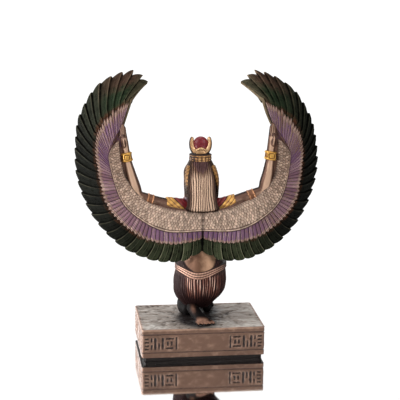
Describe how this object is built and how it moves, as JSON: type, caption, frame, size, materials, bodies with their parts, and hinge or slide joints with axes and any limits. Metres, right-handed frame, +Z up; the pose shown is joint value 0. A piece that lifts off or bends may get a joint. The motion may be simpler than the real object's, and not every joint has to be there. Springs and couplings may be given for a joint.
{
  "type": "winged goddess statuette",
  "caption": "Kneeling winged figure in an Egyptian headdress, arms spread along two tall feathered wings, on a low rectangular plinth; stands on a shelf.",
  "frame": {"origin": "centre of the plinth's underside, on the surface the statuette stands on", "axes": "+Z up along the figure's height; the goddess faces -Y and her left side is +X"},
  "size_m": [0.08, 0.028, 0.0917],
  "materials": {
    "painted_bronze_resin": "bronze-coloured metallic coat, hand-painted dark green, violet, red and gold, satin",
    "plinth_bronze_resin": "bronze-coloured metallic coat with a worn grey-brown patina, satin"
  },
  "bodies": {
    "root": {"winged_goddess": "painted_bronze_resin", "plinth": "plinth_bronze_resin"}
  },
  "joints": []
}
